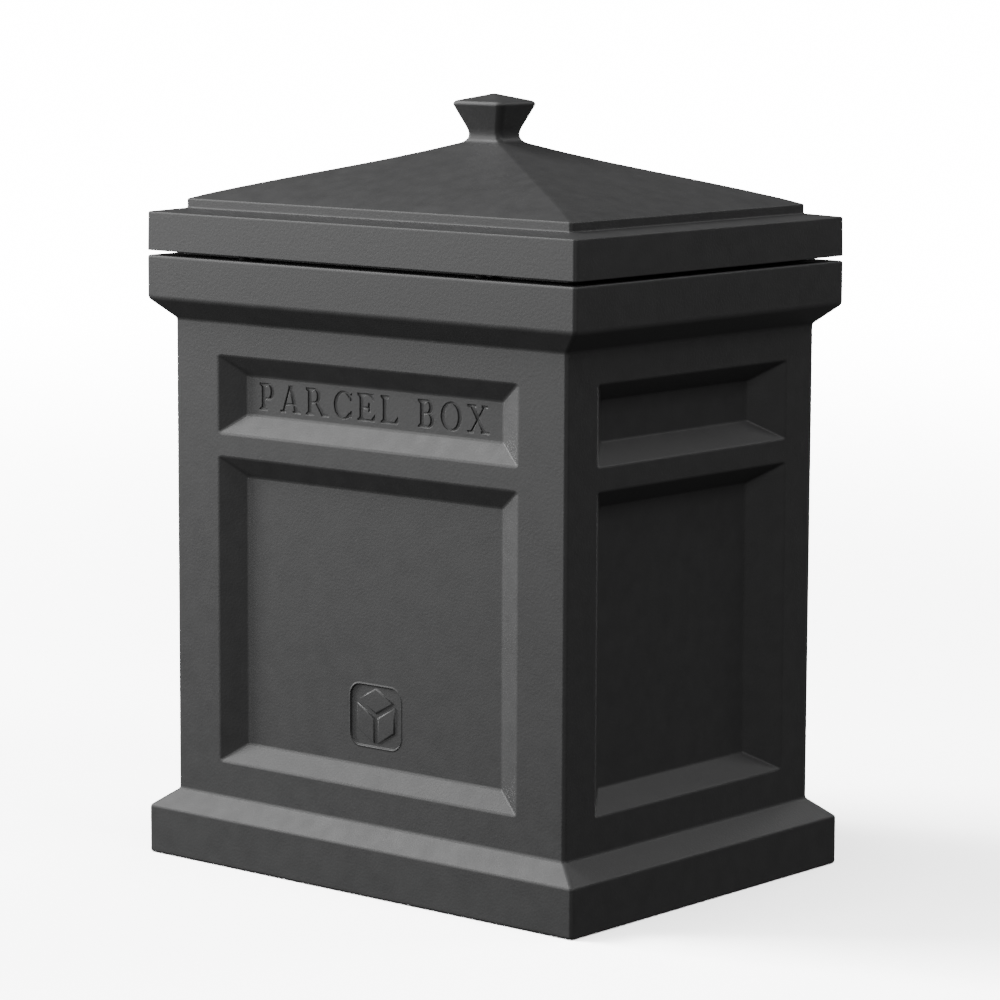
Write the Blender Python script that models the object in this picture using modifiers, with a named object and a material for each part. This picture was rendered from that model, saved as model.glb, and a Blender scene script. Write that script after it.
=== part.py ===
"""Parcel drop box: a moulded double-wall cabinet with a hinged pyramid lid.

Axes: +Z up, the lettered front faces -Y, and the origin is the centre of the flat base.
Lengths are written in millimetres and turned into metres by MM.
"""

from math import copysign, cos, pi, radians, sin, sqrt

import bmesh
import bpy
from mathutils import Matrix, Vector

MM = 0.001
GAP = 0.3               # clearance between pieces that touch

# Outside of the cabinet, as half widths about the vertical axis
BODY_HALF = (271.8, 206.3)
COLUMN_HALF = (249.0, 189.5)
PLINTH_HALF = (273.2, 207.2)
PLINTH_TOP = 47.5
CHAMFER_TOP = 65.5
CORNICE_LOW = 535.4
CORNICE_FACE = 555.5
BODY_TOP = 598.0
WALL = 4.0
EDGE = 1.2              # small chamfer on outer edges
CORNER = 4.2            # radius of the upright corners

# Recessed panels: outer edges on the column, then lateral width of the bevels and the depth
UPPER_PANEL_Z = (427.0, 503.7)
LOWER_PANEL_Z = (100.7, 404.3)
PANEL_BEVEL_Z = 19.0
FRONT_PANEL = {"half": 191.0, "bevel": 28.0, "depth": 12.5}
SIDE_PANEL = {"half": 145.0, "bevel": 32.5, "depth": 24.0}

# Lettering and badge on the front panels
LETTERING = "PARCEL BOX"
CAP_HEIGHT = 25.5
LETTERING_WIDTH = 292.0
WORD_GAP = 25.0
ENGRAVING = 1.6
BADGE_HALF = (32.0, 29.5)
BADGE_RADIUS = 12.0
BADGE_X = 4.5
BADGE_Z = 168.5
BADGE_DEPTH = 1.2
CARTON_REACH = 25.0      # from the middle of the pictogram to its outer corners
CARTON_SHIFT = 2.6       # each face stands this far out, which leaves the joints between them

# Liner: the bin that drops in from above, with the rain upstand round its mouth
LINER_TOP_HALF = (216.5, 168.5)
LINER_FLOOR_HALF = (214.0, 166.0)
LINER_WALL = 3.0
LINER_BOTTOM = 40.0
UPSTAND_HALF = (247.5, 182.0)
UPSTAND_TOP = 622.0
DECK_OPENING = (222.0, 174.0)
DECK_BOSS_LOW = 578.0
DECK_PILOT_LOW = 584.0
MAT_HALF = (205.0, 157.0)
MAT_PLATE = 3.0
MAT_RIB_TOP = 6.5
MAT_PITCH = 15.0
ANCHOR_HOLE = 6.0
DRAIN_HOLE = 4.0

# Base tray
TRAY_HALF = (268.2, 202.2)
TRAY_PLATE = 4.0
TRAY_PAD_TOP = 7.0
RIB = 3.0
BOSS_REACH = 14.5       # from a base screw out into the wall

# Lid
LID_BOTTOM = 602.5
LID_EDGE_TOP = 640.5
LEDGE_TOP = 644.0
STEP_TOP = 653.0
STEP_INSET = 27.6
ROOF = (
    (658.3, 0.93), (665.5, 0.82), (674.0, 0.68), (683.3, 0.52), (692.8, 0.36), (702.0, 0.22), (706.0, 0.165),
)
KNOB = (
    (709.0, (31.0, 23.5), 4.5),
    (711.0, (26.6, 21.1), 4.5),
    (713.5, (23.0, 18.9), 4.5),
    (716.5, (20.9, 17.7), 4.5),
    (720.0, (20.2, 17.3), 4.5),
    (724.0, (21.6, 18.5), 4.5),
    (743.0, (30.6, 26.2), 5.0),
    (746.2, (31.8, 27.2), 5.0),
    (748.0, (31.6, 27.0), 5.0),
    (750.4, (30.0, 25.6), 5.0),
    (757.0, (4.0, 3.4), 1.5),
    (757.5, (2.0, 1.7), 1.0),
)
LID_WALL = 3.5
PAN_HALF = (267.3, 201.8)
PAN_WALL_HALF = (254.0, 188.5)
PAN_BOTTOM = 606.0
PAN_TOP = 633.0
PAN_WALL = 3.0

# Hinges on the rear faces
HINGE_AXIS = (211.1, 600.25)
HINGE_X = 165.0
HINGE_HALF = 32.0
BARREL = 4.5
PIN = 2.0
LEAF = 2.5
LID_KNUCKLE_HALF = 11.7
LID_OPEN = 100.0

# Fasteners
SCREW_SHANK = 1.7
SCREW_HEAD = 4.0
HEAD_HEIGHT = 2.2
PILOT = 2.0
CLEAR_HOLE = 2.2

BASE_SCREW_LENGTH = 24.0
LINER_SCREW_LENGTH = 16.0
LID_SCREW_LENGTH = 20.0
HINGE_SCREW_LENGTH = {"body": 13.0, "lid": 12.0}
BASE_SCREWS = [(-256, -150), (256, -150), (-256, 150), (256, 150), (0, -190), (0, 190)]
LINER_SCREWS = [(-232, -90), (232, -90), (-232, 90), (232, 90)]
LID_SCREWS = [(-263.3, -120), (263.3, -120), (-263.3, 120), (263.3, 120), (0, -197.8), (0, 197.8)]
ANCHORS = [(-170, -125), (170, -125), (-170, 125), (170, 125)]
DRAINS = [(-100, -50), (100, -50), (-100, 50), (100, 50)]
BUMPERS = [(-150, -194), (150, -194), (-90, 194), (90, 194)]
LEAF_SCREW_X = (-20.0, 20.0)
BODY_LEAF_SCREW_Z = 581.5
LID_LEAF_SCREW_Z = 620.0
BODY_LEAF_Z = (595.0, 568.0)    # edge next to the barrel, far edge
LID_LEAF_Z = (605.5, 634.0)
PAD_HALF = 30.0                 # solid blocks in the walls that the hinge screws bite into
BODY_PAD_Z = (568.0, 592.0)
LID_PAD_Z = (612.0, 632.0)
NIB_ANGLE = 6.5                 # taken up by half the nib's thickness when it meets the leaf


# ---------------------------------------------------------------- scene set-up

def clear_scene():
    for thing in list(bpy.data.objects):
        bpy.data.objects.remove(thing, do_unlink=True)


def collection(name):
    made = bpy.data.collections.new(name)
    bpy.context.scene.collection.children.link(made)
    return made


def material(name, colour, roughness, metallic=0.0):
    made = bpy.data.materials.new(name)
    made.use_nodes = True
    shader = made.node_tree.nodes["Principled BSDF"]
    shader.inputs["Base Color"].default_value = (*colour, 1.0)
    shader.inputs["Roughness"].default_value = roughness
    shader.inputs["Metallic"].default_value = metallic
    return made


clear_scene()
PARTS = collection("parcel_drop_box")
CUTTERS = collection("cutters")

SHELL_PLASTIC = material("shell_plastic", (0.045, 0.045, 0.047), 0.55)
LINER_PLASTIC = material("liner_plastic", (0.030, 0.030, 0.031), 0.60)
BASE_PLASTIC = material("base_plastic", (0.025, 0.025, 0.026), 0.65)
MAT_RUBBER = material("mat_rubber", (0.018, 0.018, 0.018), 0.85)
HINGE_STEEL = material("hinge_steel", (0.035, 0.035, 0.037), 0.45, 1.0)
SCREW_STEEL = material("screw_steel", (0.42, 0.42, 0.43), 0.35, 1.0)


# ---------------------------------------------------------------- mesh helpers

def place(name, bm, finish, guide=False):
    """Turn a bmesh in millimetres into an object in metres, as a part or as a cutter."""
    bmesh.ops.scale(bm, vec=(MM, MM, MM), verts=bm.verts)
    bmesh.ops.recalc_face_normals(bm, faces=bm.faces)
    mesh = bpy.data.meshes.new(name)
    bm.to_mesh(mesh)
    bm.free()
    made = bpy.data.objects.new(name, mesh)
    if guide:
        CUTTERS.objects.link(made)
        made.hide_render = True
        made.display_type = "WIRE"
    else:
        PARTS.objects.link(made)
        mesh.materials.append(finish)
    return made


def combine(target, tool, operation):
    step = target.modifiers.new(tool.name, "BOOLEAN")
    step.operation = operation
    step.object = tool
    step.solver = "EXACT"


def cut(target, tool):
    combine(target, tool, "DIFFERENCE")


def join(target, tool):
    combine(target, tool, "UNION")


def rounded_rectangle(half, radius, steps=3):
    """Corners of a rounded rectangle, anticlockwise, with steps + 1 points on each corner arc."""
    points = []
    for corner, (sx, sy) in enumerate(((1, 1), (-1, 1), (-1, -1), (1, -1))):
        for step in range(steps + 1):
            angle = (corner + step / steps) * pi / 2
            x = sx * (half[0] - radius) + radius * cos(angle)
            y = sy * (half[1] - radius) + radius * sin(angle)
            points.append((x, y))
    return points


def loft(name, levels, finish=None, guide=False):
    """Skin a stack of rounded rectangles; each level is (z, half widths, corner radius)."""
    bm = bmesh.new()
    rings = []
    for z, half, radius in levels:
        rings.append([bm.verts.new((x, y, z)) for x, y in rounded_rectangle(half, radius)])
    count = len(rings[0])
    for lower, upper in zip(rings, rings[1:]):
        for i in range(count):
            j = (i + 1) % count
            bm.faces.new((lower[i], lower[j], upper[j], upper[i]))
    bm.faces.new(list(reversed(rings[0])))
    bm.faces.new(rings[-1])
    return place(name, bm, finish, guide)


def add_block(bm, low, high):
    made = bmesh.ops.create_cube(bm, size=1.0)
    for vert in made["verts"]:
        for axis in range(3):
            vert.co[axis] = high[axis] if vert.co[axis] > 0 else low[axis]


def add_cylinder(bm, centre, radius, low, high, axis="Z", segments=12):
    """A cylinder along an axis from low to high; centre is its place on the other two axes."""
    middle = (low + high) / 2
    if axis == "Z":
        spot = Vector((centre[0], centre[1], middle))
        turn = Matrix.Identity(4)
    elif axis == "Y":
        spot = Vector((centre[0], middle, centre[1]))
        turn = Matrix.Rotation(pi / 2, 4, "X")
    else:
        spot = Vector((middle, centre[0], centre[1]))
        turn = Matrix.Rotation(pi / 2, 4, "Y")
    bmesh.ops.create_cone(
        bm, cap_ends=True, segments=segments, radius1=radius, radius2=radius,
        depth=high - low, matrix=Matrix.Translation(spot) @ turn)


def blocks(name, spans, finish=None, guide=True):
    bm = bmesh.new()
    for low, high in spans:
        add_block(bm, low, high)
    return place(name, bm, finish, guide)


def cylinders(name, centres, radius, low, high, axis="Z", segments=12):
    bm = bmesh.new()
    for centre in centres:
        add_cylinder(bm, centre, radius, low, high, axis, segments)
    return place(name, bm, None, guide=True)


def shrink(half, by):
    return (half[0] - by, half[1] - by)


# ---------------------------------------------------------------- recessed panels

def bevel_reach(half, bevel, depth, grow, at):
    """Half width of a panel recess at a depth, with its bevel moved outwards by grow."""
    slant = sqrt(bevel * bevel + depth * depth)
    return half + grow * slant / depth - bevel * at / depth


def add_recess(bm, side, panel, z_span, grow, start, end):
    """One tapered recess on a column face, from start to end below that face."""
    centre_z = (z_span[0] + z_span[1]) / 2
    half_z = (z_span[1] - z_span[0]) / 2
    made = bmesh.ops.create_cube(bm, size=2.0)
    face = COLUMN_HALF[0] if side in ("left", "right") else COLUMN_HALF[1]
    for vert in made["verts"]:
        across, inward, height = vert.co
        at = end if inward > 0 else start
        reach = across * bevel_reach(panel["half"], panel["bevel"], panel["depth"], grow, at)
        z = centre_z + height * bevel_reach(half_z, PANEL_BEVEL_Z, panel["depth"], grow, at)
        off = face - at
        if side == "front":
            vert.co = (reach, -off, z)
        elif side == "back":
            vert.co = (reach, off, z)
        elif side == "right":
            vert.co = (off, reach, z)
        else:
            vert.co = (-off, reach, z)


def panel_recesses(name, grow, start):
    bm = bmesh.new()
    for side in ("front", "back", "left", "right"):
        panel = FRONT_PANEL if side in ("front", "back") else SIDE_PANEL
        for z_span in (UPPER_PANEL_Z, LOWER_PANEL_Z):
            add_recess(bm, side, panel, z_span, grow, start, panel["depth"] + grow)
    return place(name, bm, None, guide=True)


# ---------------------------------------------------------------- lettering and badge

STEM = 0.15             # thick stroke, as a share of the cap height
HAIR = 0.07             # thin stroke
SERIF = 0.06            # how far a serif stands out from its stroke
ARC_STEPS = 7


def bar(x0, y0, x1, y1):
    return [(x0, y0), (x1, y0), (x1, y1), (x0, y1)]


def stem(x):
    """An upright thick stroke with a slab serif at each end."""
    wide = (x - SERIF, x + STEM + SERIF)
    return [bar(x, 0, x + STEM, 1), bar(wide[0], 0, wide[1], SERIF), bar(wide[0], 1 - SERIF, wide[1], 1)]


def arc(centre, radii, start, end):
    points = []
    for i in range(ARC_STEPS + 1):
        angle = radians(start + (end - start) * i / ARC_STEPS)
        points.append((centre[0] + radii[0] * cos(angle), centre[1] + radii[1] * sin(angle)))
    return points


def crescent(centre, radii, start, end):
    """A curved stroke, thick at its sides and thin at its top and bottom."""
    inner = (radii[0] - STEM, radii[1] - HAIR)
    return arc(centre, radii, start, end) + list(reversed(arc(centre, inner, start, end)))


def bowl(x, low, high, reach):
    """The round part of a P, B or R, from a stem's right edge at x."""
    middle = (low + high) / 2
    flat = x + reach * 0.35
    curve = crescent((flat, middle), (reach * 0.65, (high - low) / 2), -90, 90)
    lower = bar(x - 0.02, low, flat + 0.005, low + HAIR)
    upper = bar(x - 0.02, high - HAIR, flat + 0.005, high)
    return [curve, lower, upper]


def arm(x, y, length, tip_low, tip_high):
    """A thin arm from a stem, ended by an upright tip."""
    end = x + length
    return [bar(x - 0.02, y, end, y + HAIR), bar(end - SERIF, tip_low, end, tip_high)]


def slant(x_low, x_high, width):
    return [(x_low, 0), (x_low + width, 0), (x_high + width, 1), (x_high, 1)]


def foot(x, width, y=0.0):
    return bar(x - SERIF, y, x + width + SERIF, y + SERIF)


def letter(name):
    """The strokes of one capital on a unit cap height, and its width."""
    x = SERIF
    edge = x + STEM
    if name == "P":
        return stem(x) + bowl(edge, 0.42, 1.0, 0.48), 0.72
    if name == "A":
        thin = slant(0.10, 0.44, HAIR * 1.2)
        thick = slant(0.78, 0.40, STEM * 1.1)
        return [thin, thick, bar(0.20, 0.30, 0.75, 0.30 + HAIR), foot(0.10, HAIR), foot(0.78, STEM)], 1.0
    if name == "R":
        leg = [(0.40, 0.50), (0.56, 0.50), (0.98, 0.0), (0.80, 0.0)]
        return stem(x) + bowl(edge, 0.46, 1.0, 0.46) + [leg, bar(0.80, 0, 1.04, SERIF)], 1.04
    if name == "C":
        curve = crescent((0.48, 0.5), (0.46, 0.52), 42, 318)
        return [curve, bar(0.80, 0.66, 0.87, 0.98), bar(0.80, 0.04, 0.85, 0.26)], 0.88
    if name == "E":
        arms = arm(edge, 1 - HAIR, 0.52, 0.76, 1.0) + arm(edge, 0.48, 0.34, 0.38, 0.66)
        return stem(x) + arms + arm(edge, 0.0, 0.58, 0.0, 0.27), 0.80
    if name == "L":
        return stem(x) + arm(edge, 0.0, 0.56, 0.0, 0.30), 0.78
    if name == "B":
        return stem(x) + bowl(edge, 0.50, 1.0, 0.46) + bowl(edge, 0.0, 0.50 + HAIR, 0.53), 0.76
    if name == "O":
        left = crescent((0.48, 0.5), (0.48, 0.52), 90, 270)
        right = crescent((0.48, 0.5), (0.48, 0.52), -90, 90)
        return [left, right], 0.96
    if name == "X":
        high = 1 - SERIF
        feet = [foot(0.07, HAIR), foot(0.74, STEM), foot(0.06, STEM, high), foot(0.76, HAIR, high)]
        return [slant(0.76, 0.06, STEM * 1.1), slant(0.07, 0.76, HAIR * 1.2)] + feet, 0.96
    return [], 0.0


def add_prism(bm, outline, y_front, y_back):
    """A flat outline in X and Z, made solid between two planes of Y."""
    front = [bm.verts.new((x, y_front, z)) for x, z in outline]
    face = bm.faces.new(front)
    made = bmesh.ops.extrude_face_region(bm, geom=[face])
    for item in made["geom"]:
        if isinstance(item, bmesh.types.BMVert):
            item.co.y = y_back


def lettering_cutter():
    """The engraved words, centred on the upper front panel."""
    floor = -(COLUMN_HALF[1] - FRONT_PANEL["depth"])
    widths = [letter(name)[1] * CAP_HEIGHT for name in LETTERING]
    gaps = sum(1 for a, b in zip(LETTERING, LETTERING[1:]) if " " not in (a, b))
    spacing = (LETTERING_WIDTH - WORD_GAP - sum(widths)) / gaps
    base_z = (UPPER_PANEL_Z[0] + UPPER_PANEL_Z[1] - CAP_HEIGHT) / 2
    cursor = -LETTERING_WIDTH / 2
    words = None
    for index, name in enumerate(LETTERING):
        strokes, width = letter(name)
        for number, stroke in enumerate(strokes):
            outline = [(cursor + x * CAP_HEIGHT, base_z + z * CAP_HEIGHT) for x, z in stroke]
            bm = bmesh.new()
            add_prism(bm, outline, floor - 1.0, floor + ENGRAVING + 0.01 * number)
            tool = place(f"stroke_{index}_{number}", bm, None, guide=True)
            if words is None:
                words = tool
            else:
                join(words, tool)
        if name == " ":
            cursor += WORD_GAP
        else:
            following = LETTERING[index + 1:index + 2]
            cursor += width * CAP_HEIGHT + (spacing if following not in (" ", "") else 0.0)
    return words


def badge_cutter():
    """A rounded recess with a raised carton pictogram left standing in it."""
    floor = -(COLUMN_HALF[1] - FRONT_PANEL["depth"])
    bm = bmesh.new()
    outline = [(BADGE_X + x, BADGE_Z + z) for x, z in rounded_rectangle(BADGE_HALF, BADGE_RADIUS)]
    add_prism(bm, outline, floor - 1.0, floor + BADGE_DEPTH)
    recess = place("badge_recess", bm, None, guide=True)

    bm = bmesh.new()
    for turn in (90, 210, 330):
        centre = (BADGE_X + CARTON_SHIFT * cos(radians(turn)), BADGE_Z + CARTON_SHIFT * sin(radians(turn)))
        corners = [(0, 0)]
        for offset in (-60, 0, 60):
            angle = radians(turn + offset)
            corners.append((CARTON_REACH * cos(angle), CARTON_REACH * sin(angle)))
        face = [(centre[0] + x, centre[1] + z) for x, z in corners]
        add_prism(bm, face, floor - 2.0, floor + BADGE_DEPTH + 1.0)
    cut(recess, place("badge_carton", bm, None, guide=True))
    return recess


# ---------------------------------------------------------------- cabinet

def body_shell():
    """Outer moulding: plinth, panelled column and cornice in one wall, open below and above."""
    shell = loft("body_shell", [
        (0.0, shrink(PLINTH_HALF, EDGE), CORNER),
        (EDGE, PLINTH_HALF, CORNER),
        (PLINTH_TOP - EDGE, PLINTH_HALF, CORNER),
        (PLINTH_TOP, shrink(PLINTH_HALF, 0.6), CORNER),
        (CHAMFER_TOP, COLUMN_HALF, CORNER),
        (CORNICE_LOW, COLUMN_HALF, CORNER),
        (CORNICE_FACE, shrink(BODY_HALF, 0.6), CORNER),
        (CORNICE_FACE + EDGE, BODY_HALF, CORNER),
        (BODY_TOP - EDGE, BODY_HALF, CORNER),
        (BODY_TOP, shrink(BODY_HALF, EDGE), CORNER),
    ], SHELL_PLASTIC)
    cut(shell, panel_recesses("panel_recesses", 0.0, -2.0))

    inner_column = shrink(COLUMN_HALF, WALL)
    cavity = loft("shell_cavity", [
        (-2.0, shrink(PLINTH_HALF, WALL), 3.0),
        (PLINTH_TOP - 2.0, shrink(PLINTH_HALF, WALL), 3.0),
        (CHAMFER_TOP - 2.0, inner_column, 2.0),
        (CORNICE_LOW + 1.74, inner_column, 2.0),
        (CORNICE_FACE + 1.74, shrink(BODY_HALF, WALL), 3.0),
        (BODY_TOP - WALL, shrink(BODY_HALF, WALL), 3.0),
    ], guide=True)
    cut(cavity, panel_recesses("panel_backs", WALL, WALL - 1.0))
    cut(shell, cavity)
    mouth = [(BODY_TOP - WALL - 2.0, DECK_OPENING, 8.0), (BODY_TOP + 2.0, DECK_OPENING, 8.0)]
    cut(shell, loft("deck_mouth", mouth, guide=True))

    boss_low = TRAY_PAD_TOP + GAP
    bosses = []
    for x, y in BASE_SCREWS:
        out = (copysign(BOSS_REACH, x), 0.0) if x else (0.0, copysign(BOSS_REACH, y))
        low = (min(x - 7, x + out[0]), min(y - 7, y + out[1]), boss_low)
        high = (max(x + 7, x + out[0]), max(y + 7, y + out[1]), PLINTH_TOP - 4.0)
        bosses.append((low, high))
    join(shell, blocks("base_bosses", bosses))
    cut(shell, cylinders("base_pilots", BASE_SCREWS, PILOT, boss_low - 1.0, 30.0))
    join(shell, cylinders("deck_bosses", LINER_SCREWS, 6.0, DECK_BOSS_LOW, BODY_TOP - WALL + 0.5))
    cut(shell, cylinders("deck_pilots", LINER_SCREWS, PILOT, DECK_PILOT_LOW, BODY_TOP + 1.0))

    wall_y = BODY_HALF[1] - WALL
    pads = []
    holes = []
    for side in (-1, 1):
        x = side * HINGE_X
        pads.append(((x - PAD_HALF, wall_y - 10, BODY_PAD_Z[0]), (x + PAD_HALF, wall_y + 1, BODY_PAD_Z[1])))
        holes += [(x + dx, BODY_LEAF_SCREW_Z) for dx in LEAF_SCREW_X]
    join(shell, blocks("body_hinge_pads", pads))
    cut(shell, cylinders("body_hinge_pilots", holes, PILOT, wall_y - 8, BODY_HALF[1] + 1, "Y"))
    cut(shell, lettering_cutter())
    cut(shell, badge_cutter())
    return shell


def bin_liner():
    """Inner bin: walls, floor, the flange that lies on the deck, and the rain upstand."""
    flange = BODY_TOP + GAP
    liner = loft("bin_liner", [
        (LINER_BOTTOM, shrink(LINER_FLOOR_HALF, 2.0), 8.0),
        (LINER_BOTTOM + 2.0, LINER_FLOOR_HALF, 9.0),
        (flange, LINER_TOP_HALF, 9.0),
        (flange + 0.001, UPSTAND_HALF, 6.0),
        (UPSTAND_TOP - 1.0, UPSTAND_HALF, 6.0),
        (UPSTAND_TOP, shrink(UPSTAND_HALF, 1.0), 5.0),
    ], LINER_PLASTIC)
    inside = [
        (LINER_BOTTOM + LINER_WALL, shrink(LINER_FLOOR_HALF, LINER_WALL + 1.0), 6.0),
        (flange + LINER_WALL, shrink(LINER_TOP_HALF, LINER_WALL), 6.5),
        (flange + LINER_WALL + 0.001, shrink(UPSTAND_HALF, LINER_WALL), 3.5),
        (UPSTAND_TOP + 2.0, shrink(UPSTAND_HALF, LINER_WALL), 3.5),
    ]
    cut(liner, loft("liner_inside", inside, guide=True))
    low = LINER_BOTTOM - 2.0
    high = LINER_BOTTOM + LINER_WALL + 2.0
    cut(liner, cylinders("liner_anchor_holes", ANCHORS, ANCHOR_HOLE, low, high))
    cut(liner, cylinders("liner_drain_holes", DRAINS, DRAIN_HOLE, low, high))
    above = flange + LINER_WALL + 1
    cut(liner, cylinders("liner_screw_holes", LINER_SCREWS, CLEAR_HOLE, flange - 1, above))
    return liner


def base_tray():
    """Flat base with the ribs that carry the liner floor and the tubes for ground anchors."""
    tray = loft("base_tray", [(0.0, TRAY_HALF, 3.0), (TRAY_PLATE, TRAY_HALF, 3.0)], BASE_PLASTIC)
    top = LINER_BOTTOM - GAP
    ribs = []
    for y in (-100.0, 0.0, 100.0):
        ribs.append(((-200, y - RIB / 2, TRAY_PLATE - 1), (200, y + RIB / 2, top)))
    join(tray, blocks("tray_long_ribs", ribs))
    ribs = []
    for x in (-150.0, -50.0, 50.0, 150.0):
        ribs.append(((x - RIB / 2, -150, TRAY_PLATE - 1), (x + RIB / 2, 150, top - 0.5)))
    join(tray, blocks("tray_cross_ribs", ribs))
    join(tray, cylinders("tray_anchor_tubes", ANCHORS, 9.5, TRAY_PLATE - 1, top - 1.0))
    cut(tray, cylinders("tray_anchor_holes", ANCHORS, ANCHOR_HOLE, -1, top + 1))
    cut(tray, cylinders("tray_drain_holes", DRAINS, DRAIN_HOLE, -1, TRAY_PLATE + 1))

    join(tray, cylinders("tray_pads", BASE_SCREWS, 8.0, TRAY_PLATE - 1, TRAY_PAD_TOP))
    cut(tray, cylinders("tray_screw_holes", BASE_SCREWS, CLEAR_HOLE, -1, TRAY_PAD_TOP + 1))
    cut(tray, cylinders("tray_head_pockets", BASE_SCREWS, SCREW_HEAD + 0.6, -1, HEAD_HEIGHT + 1.0))
    return tray


def floor_mat():
    """Ribbed mat on the liner floor, so that parcels stand clear of any water."""
    low = LINER_BOTTOM + LINER_WALL + GAP
    mat = loft("floor_mat", [(low, MAT_HALF, 6.0), (low + MAT_PLATE, MAT_HALF, 6.0)], MAT_RUBBER)
    reach = MAT_HALF[0] - 7.0
    spans = []
    for index in range(-9, 10):
        y = index * MAT_PITCH
        spans.append(((-reach, y - 2, low + MAT_PLATE - 0.5), (reach, y + 2, low + MAT_RIB_TOP)))
    join(mat, blocks("mat_ribs", spans))
    cut(mat, cylinders("mat_plug_holes", ANCHORS, 14.0, low - 1, low + 8, segments=24))
    cut(mat, cylinders("mat_drain_holes", DRAINS, 3.0, low - 1, low + 8))
    return mat


# ---------------------------------------------------------------- turned pieces

def turned(name, profile, finish, spot, turn=None, segments=12, mesh=None):
    """A profile of (radius, height) from the top of the axis down to its bottom, turned about Z."""
    if mesh is None:
        bm = bmesh.new()
        points = [bm.verts.new((radius * MM, 0.0, height * MM)) for radius, height in profile]
        for above, below in zip(points, points[1:]):
            bm.edges.new((above, below))
        mesh = bpy.data.meshes.new(name)
        bm.to_mesh(mesh)
        bm.free()
        mesh.materials.append(finish)
    made = bpy.data.objects.new(name, mesh)
    PARTS.objects.link(made)
    made.location = Vector(spot) * MM
    if turn is not None:
        made.rotation_euler = turn
    screw = made.modifiers.new("turn", "SCREW")
    screw.steps = segments
    screw.render_steps = segments
    screw.use_merge_vertices = True
    screw.merge_threshold = 0.00001
    return made


def screw_profile(length):
    """A domed head above the origin and a plain shank with a point below it."""
    return [
        (0.0, HEAD_HEIGHT),
        (SCREW_HEAD * 0.55, HEAD_HEIGHT - 0.2),
        (SCREW_HEAD, 0.6),
        (SCREW_HEAD, 0.0),
        (SCREW_SHANK, 0.0),
        (SCREW_SHANK, 2.0 - length),
        (0.0, -length),
    ]


def screw_set(names, spots, length, turn=None):
    """Identical screws that share a mesh; each spot is where the head's underside sits."""
    mesh = None
    for name, spot in zip(names, spots):
        made = turned(name, screw_profile(length), SCREW_STEEL, spot, turn, mesh=mesh)
        mesh = made.data


HEAD_DOWN = (pi, 0.0, 0.0)
HEAD_BACK = (-pi / 2, 0.0, 0.0)


def cabinet_screws():
    low = HEAD_HEIGHT + 1.0 - GAP
    names = [f"base_screw_{n + 1}" for n in range(len(BASE_SCREWS))]
    screw_set(names, [(x, y, low) for x, y in BASE_SCREWS], BASE_SCREW_LENGTH, HEAD_DOWN)
    high = BODY_TOP + LINER_WALL + 2 * GAP
    names = [f"liner_screw_{n + 1}" for n in range(len(LINER_SCREWS))]
    screw_set(names, [(x, y, high) for x, y in LINER_SCREWS], LINER_SCREW_LENGTH)


def anchor_plugs():
    """Rubber plugs that close the four holes for ground anchors."""
    top = 2.5
    profile = [(0, top), (10, top), (11, top - 1), (11, 0), (5.5, 0), (5.5, -11), (4.5, -12), (0, -12)]
    mesh = None
    for number, (x, y) in enumerate(ANCHORS):
        spot = (x, y, LINER_BOTTOM + LINER_WALL + GAP)
        made = turned(f"anchor_plug_{number + 1}", profile, MAT_RUBBER, spot, segments=16, mesh=mesh)
        mesh = made.data


# ---------------------------------------------------------------- lid

def roof_half(share):
    """Half widths of the roof at a share of its eaves."""
    return ((BODY_HALF[0] - STEP_INSET) * share, (BODY_HALF[1] - STEP_INSET) * share)


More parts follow.
